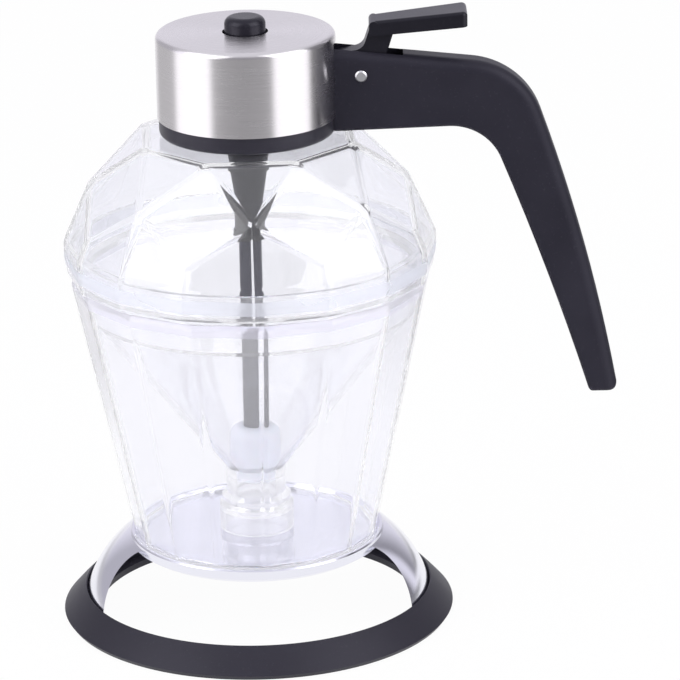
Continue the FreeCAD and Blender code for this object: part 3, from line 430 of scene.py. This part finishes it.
def gemObject(name, s, rings, around):
    # brilliant cut: eight table corners, eight break corners between them, eight kite tips under the
    # table corners, sixteen girdle corners; each facet joins the corners that lie in its plane
    # the rings below the kite tips have sixteen corners each
    eight, sixteen = np.arange(8) * 45.0 + s["turn"], np.arange(16) * 22.5 + s["turn"]
    turns = (eight + 22.5, eight, eight + 22.5) + (sixteen,) * (len(rings) - 3)
    last = 24 + 16 * (len(rings) - 4)
    points = np.vstack([atAngles(*ring, turn) for ring, turn in zip(rings, turns)])
    k, after = np.arange(8), (np.arange(8) + 1) % 8
    before = (k - 1) % 8
    table, brk, tip, top = 0, 8, 16, 24
    faces = [list(range(8)), list(range(last, last + 16))[::-1]]
    faces += np.stack([table + before, brk + k, table + k], -1).tolist()
    faces += np.stack([table + k, brk + k, tip + k, brk + after], -1).tolist()
    faces += np.stack([brk + k, top + 2 * k, top + 2 * k + 1, tip + k], -1).tolist()
    faces += np.stack([tip + k, top + 2 * k + 1, top + (2 * k + 2) % 16, brk + after], -1).tolist()
    step, follow = np.arange(16), (np.arange(16) + 1) % 16
    for ring in range(24, last, 16):
        faces += np.stack([ring + step, ring + 16 + step, ring + 16 + follow, ring + follow], -1).tolist()
    return roundEdges(meshObject(name, points, faces), around)


def paintBand(piece, finish, lowest, highest, outside):
    # the outer faces between two heights take another finish
    mesh = piece.data
    centre = np.empty(len(mesh.polygons) * 3)
    mesh.polygons.foreach_get("center", centre)
    centre = centre.reshape(-1, 3) / mm
    radius, height = np.hypot(centre[:, 0], centre[:, 1]), centre[:, 2]
    mesh.materials.append(finishes[finish])
    mesh.polygons.foreach_set("material_index", ((height > lowest) & (height < highest) & (radius > outside)).astype(int))


def tubeObject(name, line, width, height, around, shrink=None):
    # an oval of the given half width and half height carried along a line that goes round the axis:
    # point = line + width cos b * outward + height sin b * up, closed by a flat face at each end
    line = np.asarray(line, float)
    shrink = np.ones(len(line)) if shrink is None else shrink
    outward = line * (1.0, 1.0, 0.0)
    outward /= np.linalg.norm(outward, axis=1)[:, None]
    turn = np.linspace(0, 2 * np.pi, around, endpoint=False)[::-1]
    side = outward[:, None, :] * (np.cos(turn) * width)[None, :, None]
    rise = np.array([0.0, 0.0, 1.0]) * (np.sin(turn) * height)[None, :, None]
    points = line[:, None, :] + (side + rise) * shrink[:, None, None]
    faces = ringBands([around * i for i in range(len(line))], around)
    faces += [list(range(around))[::-1], [around * (len(line) - 1) + i for i in range(around)]]
    return meshObject(name, points.reshape(-1, 3), faces)


def coilLine(radius, turns, heights, steps):
    # x = r cos a, y = r sin a, with the height read from heights, a table of (share of the turns, height)
    share = np.linspace(0.0, 1.0, steps)
    angle = share * turns * 2 * np.pi
    height = np.interp(share, *zip(*heights))
    return np.stack([radius * np.cos(angle), radius * np.sin(angle), height], -1), share


threadSet = {
    "radius": 20.75,     # mm
    "proud": 0.85,       # how far the ridge stands out
    "thick": 0.9,        # half its height
    "low": 144.6,
    "high": 150.4,
    "turns": 1.4,
    "fade": 0.07,        # share of its length over which it dies away at each end
}


def makeThread(s):
    # the ridge that holds the cap, one and a half times round the neck, dying away at both ends
    line, share = coilLine(s["radius"], s["turns"], [(0, s["low"]), (1, s["high"])], 190)
    fade = np.clip(np.minimum(share, 1 - share) / s["fade"], 0.0, 1.0)
    return tubeObject("thread", line, s["proud"], s["thick"], 10, 0.12 + 0.88 * np.sin(fade * np.pi / 2))


def makeDome(s):
    rings = [s[k] for k in ("table", "break", "kiteTip", "girdleTop", "bondTop", "girdleLow", "bondLow", "rim")]
    small, middle = s["inside"], s["insideFrom"]
    inner = [(s[k][0] * small, middle + (s[k][1] - middle) * small) for k in ("table", "break", "kiteTip", "girdleTop", "girdleLow")]
    inner.append((inner[-1][0], 99.0))
    dome = gemObject("jarDome", s, rings, s["edgeRound"])
    neckRadius, neckTop = s["neck"]
    combine(dome, latheObject("neck", [(neckRadius, 140.6), (neckRadius, neckTop - 0.4), (neckRadius - 0.12, neckTop - 0.12),
                                       (neckRadius - 0.4, neckTop)], 128), "UNION")
    combine(dome, makeThread(threadSet), "UNION")
    combine(dome, gemObject("hollow", s, inner, s["insideRound"]), "DIFFERENCE")
    mouthRadius, mouthTop = s["mouth"]
    combine(dome, latheObject("mouth", [(mouthRadius, 138.0), (mouthRadius, mouthTop)], 128), "DIFFERENCE")
    dress(dome, "jar", "jar_dome", "clearJar")
    paintBand(dome, "bondBand", s["bondLow"][1], s["bondTop"][1], 50.6)


cupSet = {
    "turn": 4.5,
    "foot": (34.6, 22.9),
    "bandLow": (50.387, 98.2),
    "shoulder": (50.765, 100.2),
    "rim": (49.965, 101.8),
    "edgeRound": 0.5,
    "inner": [(32.91, 24.5), (49.49, 103.8)],
    "insideRound": 1.5,
}


def makeCup(s):
    # sixteen flat sides between three rings, and the same inside with broader edges
    sides = np.arange(16) * 22.5 + s["turn"]

    def shape(name, rings, around):
        points = np.vstack([atAngles(*ring, sides) for ring in rings])
        faces = ringBands([16 * i for i in range(len(rings))], 16)
        faces += [list(range(16))[::-1], list(range(len(points) - 16, len(points)))]
        return roundEdges(meshObject(name, points, faces), around)

    cup = shape("dripCup", [s[k] for k in ("foot", "bandLow", "shoulder", "rim")], s["edgeRound"])
    combine(cup, shape("inside", s["inner"], s["insideRound"]), "DIFFERENCE")
    dress(cup, "cup", "drip_cup", "clearCup")
    paintBand(cup, "rimBand", s["bandLow"][1], s["rim"][1], 48.9)


springSet = {
    "radius": 3.85,      # mm, to the middle of the wire
    "wire": 0.35,
    "low": 138.5,
    "high": 158.8,
    "turns": 9.0,
    "closed": 1.1,       # turns that lie on one another at each end
}


def makeSpring(s):
    # round wire, closed at both ends, built at one length from low to high; the real spring shortens towards the bush
    # as the plunger rises
    low, high, wire = s["low"], s["high"], s["wire"]
    end = s["closed"] / s["turns"]
    rise = wire * 2.06 * s["closed"]
    heights = [(0, low), (end, low + rise), (1 - end, high - rise), (1, high)]
    line, share = coilLine(s["radius"], s["turns"], heights, 360)
    spring = tubeObject("returnSpring", line, wire, wire, 10)
    dress(spring, "cap", "return_spring", "springSteel")
    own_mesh(spring)


makeDome(domeSet)
makeCup(cupSet)
makeSpring(springSet)
print("clear walls and spring ready")


# the studio: a white floor and a room whose brightness goes round with the direction

studioSet = {
    "floorWhite": 0.9,
    "floorGlow": 0.955,    # how much of the floor's own white the camera, metal and glass see
    "roomStrength": 0.9,
    "lampStrength": 6.0,
    "nearFloor": 0.13,     # metres from the axis where the room's bands begin on the floor
    "farFloor": 0.2,       # and where they are full
}
# brightness of the room by direction, from straight behind the camera (0) round by the right, back and left
roomBands = [
    (0.000, 0.36), (0.088, 0.40), (0.106, 1.35), (0.236, 1.40), (0.256, 0.20), (0.352, 0.24), (0.366, 1.00), (0.378, 1.00),
    (0.392, 0.28), (0.440, 0.90), (0.560, 0.95), (0.600, 0.56), (0.712, 0.60), (0.734, 1.40), (0.868, 1.35), (0.888, 0.40),
    (1.000, 0.36),
]


def makeRoomGroup():
    # the bands by the direction of a point or ray seen from the axis
    group, given, result = startGroup("roomBands", [("Way", "NodeSocketVector", (0, 0, 0))], [("Shade", "NodeSocketColor")])
    part = put(group, "ShaderNodeSeparateXYZ", n0=given["Way"]).outputs
    turn = calc(group, "ARCTAN2", part[0], calc(group, "MULTIPLY", part[1], -1.0))
    share = calc(group, "FRACT", calc(group, "ADD", calc(group, "DIVIDE", turn, 2 * math.pi), 1.0))
    ramp = group.nodes.new("ShaderNodeValToRGB")
    bands = ramp.color_ramp.elements
    for spot, (where, grey) in enumerate(roomBands):
        band = bands[spot] if spot < 2 else bands.new(where)
        band.position = where
        band.color = (grey * 0.985, grey * 0.975, grey, 1.0)
    group.links.new(share, ramp.inputs[0])
    group.links.new(ramp.outputs[0], result["Shade"])
    return group


roomGroup = makeRoomGroup()


def makeWorld(s):
    # white for the camera; for all else white overhead, and bands of grey and white at the sides
    world = bpy.data.worlds.new("room")
    bpy.context.scene.world = world
    world.use_nodes = True
    tree = world.node_tree
    tree.nodes.clear()
    way = put(tree, "ShaderNodeTexCoord").outputs["Generated"]
    part = put(tree, "ShaderNodeSeparateXYZ", n0=way).outputs
    bands = useGroup(tree, roomGroup, Way=way).outputs["Shade"]
    height = put(tree, "ShaderNodeMapRange", n0=part[2], n1=0.5, n2=0.85).outputs[0]
    room = blendColour(tree, height, bands, (0.9, 0.9, 0.91, 1.0))
    room = put(tree, "ShaderNodeVectorMath", {"operation": "MULTIPLY"}, n0=room, n1=(0.98, 0.97, 1.035)).outputs[0]
    ray = put(tree, "ShaderNodeLightPath").outputs
    seen = calc(tree, "MAXIMUM", ray["Is Camera Ray"], calc(tree, "GREATER_THAN", ray["Transmission Depth"], 0.5))
    dim = put(tree, "ShaderNodeBackground", Color=room, Strength=s["roomStrength"])
    plain = put(tree, "ShaderNodeBackground", Color=(1.0, 1.0, 1.0, 1.0), Strength=1.0)
    mix = put(tree, "ShaderNodeMixShader", n0=seen, n1=dim.outputs[0], n2=plain.outputs[0])
    out = put(tree, "ShaderNodeOutputWorld")
    tree.links.new(mix.outputs[0], out.inputs[0])


def makeFloor(s):
    # a plain white sheet that keeps part of the object's shadow; far out metal sees the room's bands in it
    size = 3.0
    corners = np.array([[-1, -1, 0], [1, -1, 0], [1, 1, 0], [-1, 1, 0]], float) * size
    mesh = bpy.data.meshes.new("floor")
    mesh.from_pydata(corners.tolist(), [], [(0, 1, 2, 3)])
    floor = bpy.data.objects.new("floor", mesh)
    bpy.context.scene.collection.objects.link(floor)
    material = bpy.data.materials.new("floorWhite")
    material.use_nodes = True
    tree = material.node_tree
    tree.nodes.clear()
    ray = put(tree, "ShaderNodeLightPath").outputs
    seen = calc(tree, "MAXIMUM", ray["Is Camera Ray"], calc(tree, "MAXIMUM", ray["Is Glossy Ray"], ray["Is Transmission Ray"]))
    white = (s["floorWhite"],) * 3 + (1.0,)
    sheet = put(tree, "ShaderNodeBsdfDiffuse", Color=white)
    place = put(tree, "ShaderNodeTexCoord").outputs["Object"]
    bands = useGroup(tree, roomGroup, Way=place).outputs["Shade"]
    away = put(tree, "ShaderNodeVectorMath", {"operation": "LENGTH"}, n0=place).outputs[1]
    far = put(tree, "ShaderNodeMapRange", n0=away, n1=s["nearFloor"], n2=s["farFloor"]).outputs[0]
    banded = calc(tree, "MULTIPLY", far, calc(tree, "LESS_THAN", ray["Transmission Depth"], 0.5))
    banded = calc(tree, "MULTIPLY", banded, ray["Is Glossy Ray"])
    glow = put(tree, "ShaderNodeEmission", Color=blendColour(tree, banded, (1.0, 1.0, 1.0, 1.0), bands), Strength=1.0)
    mix = put(tree, "ShaderNodeMixShader", n0=calc(tree, "MULTIPLY", seen, s["floorGlow"]), n1=sheet.outputs[0], n2=glow.outputs[0])
    out = put(tree, "ShaderNodeOutputMaterial")
    tree.links.new(mix.outputs[0], out.inputs[0])
    mesh.materials.append(material)


def makeLamp(name, place, size, power):
    data = bpy.data.lights.new(name, "AREA")
    data.shape = "SQUARE"
    data.size = size
    data.energy = power
    lamp = bpy.data.objects.new(name, data)
    bpy.context.scene.collection.objects.link(lamp)
    away = np.array(place) - np.array([0.0, 0.0, 0.1])
    away = away / np.linalg.norm(away)
    side = np.cross([0.0, 0.0, 1.0], away)
    side = side / np.linalg.norm(side)
    axes = np.eye(4)
    axes[:3, 0], axes[:3, 1], axes[:3, 2] = side, np.cross(away, side), away
    axes[:3, 3] = place
    lamp.matrix_world = Matrix(axes.tolist())
    data.cycles.cast_shadow = True


makeWorld(studioSet)
makeFloor(studioSet)
makeLamp("lampLeft", (-0.86, -0.6, 0.78), 1.1, studioSet["lampStrength"])
makeLamp("lampRight", (0.9, -0.52, 0.84), 1.1, studioSet["lampStrength"])
print("studio ready")
